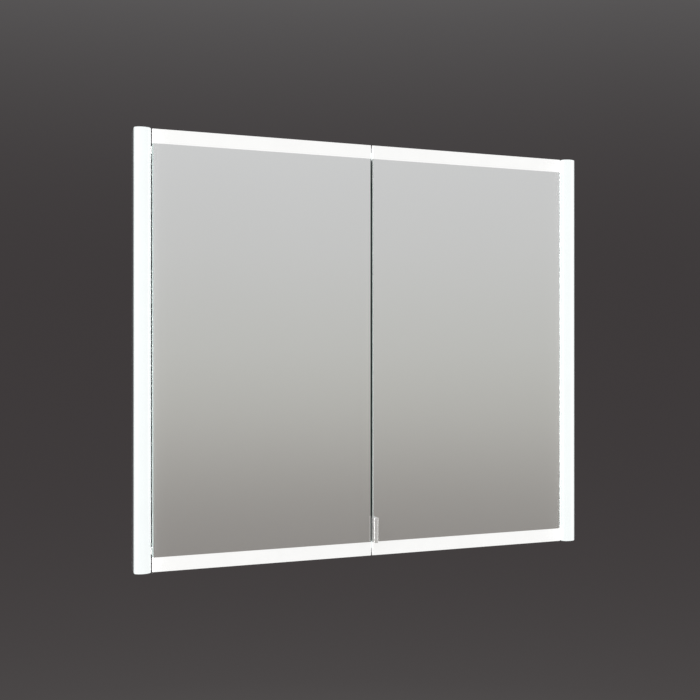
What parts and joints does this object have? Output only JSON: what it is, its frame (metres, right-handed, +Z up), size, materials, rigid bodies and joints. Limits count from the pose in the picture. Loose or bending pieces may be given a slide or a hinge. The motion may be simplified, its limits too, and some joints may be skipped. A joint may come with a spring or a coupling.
{
  "type": "mirror cabinet",
  "caption": "Flush-mounted mirror cabinet with hinged mirror doors, lit side bars and lit frosted bands, glass shelves and an inner socket.",
  "frame": {"origin": "centre of the four wall fixing holes, on the rear face of the back panel", "axes": "+X to the right seen from the front, +Y into the wall, +Z up"},
  "size_m": [0.8, 0.168, 0.7],
  "materials": {
    "mirror": "silvered float glass, clear",
    "shelf_glass": "clear toughened glass with polished edges",
    "opal": "opal acrylic, lit from inside",
    "aluminium": "satin anodised extrusion",
    "board": "moisture-proof board, white satin lacquer",
    "core_board": "moisture-proof board with aluminium-coloured edging",
    "steel": "brushed stainless",
    "chrome": "polished chrome plate",
    "led_board": "white printed strip with lamps",
    "white_plastic": "moulded, fine texture",
    "grey_plastic": "moulded, matt",
    "rubber": "soft, matt"
  },
  "bodies": {
    "carcass": {"back_panel": "board", "bar_screws": "steel", "bottom_led_strip": "led_board", "bottom_light_channel": "aluminium", "bottom_light_diffuser": "opal", "bottom_panel": "board", "bracket_screws": "steel", "cable_grommet": "rubber", "centre_partition": "board", "fixing_caps": "chrome", "led_driver": "white_plastic", "left_back_mirror": "mirror", "left_bar_bottom_cap": "opal", "left_bar_channel": "aluminium", "left_bar_diffuser": "opal", "left_bar_led_strip": "led_board", "left_bar_top_cap": "opal", "left_bottom_bracket": "steel", "left_catch": "grey_plastic", "left_lower_shelf": "shelf_glass", "left_side_panel": "board", "left_top_bracket": "steel", "left_upper_shelf": "shelf_glass", "pivot_pins": "steel", "power_cover": "white_plastic", "right_back_mirror": "mirror", "right_bar_bottom_cap": "opal", "right_bar_channel": "aluminium", "right_bar_diffuser": "opal", "right_bar_led_strip": "led_board", "right_bar_top_cap": "opal", "right_bottom_bracket": "steel", "right_catch": "grey_plastic", "right_lower_shelf": "shelf_glass", "right_side_panel": "board", "right_top_bracket": "steel", "right_upper_shelf": "shelf_glass", "shelf_pins": "steel", "socket_outlet": "white_plastic", "switch_bezel": "white_plastic", "terminal_block": "grey_plastic", "top_led_strip": "led_board", "top_light_channel": "aluminium", "top_light_diffuser": "opal", "top_panel": "board"},
    "left_door": {"left_front_mirror": "mirror", "left_door_core": "core_board", "left_inner_mirror": "mirror", "left_strike": "steel", "left_door_bumpers": "rubber", "left_door_bushes": "grey_plastic"},
    "right_door": {"right_front_mirror": "mirror", "right_door_core": "core_board", "right_inner_mirror": "mirror", "right_strike": "steel", "right_door_bumpers": "rubber", "right_door_bushes": "grey_plastic", "door_handle": "chrome", "handle_screws": "steel"},
    "switch_button": {"switch_button": "white_plastic"}
  },
  "joints": [
    {"name": "left_door_hinge", "type": "hinge", "parent": "carcass", "child": "left_door", "pos_m": [-0.3594, -0.147, 0], "axis": [0, 0, -1], "range_deg": [0, 105]},
    {"name": "right_door_hinge", "type": "hinge", "parent": "carcass", "child": "right_door", "pos_m": [0.3594, -0.147, 0], "axis": [0, 0, 1], "range_deg": [0, 105]},
    {"name": "switch_press", "type": "slide", "parent": "carcass", "child": "switch_button", "axis": [0, 1, 0], "range_m": [0, 0.002], "stiffness_N_per_m": 400, "springref_m": -0.001}
  ]
}
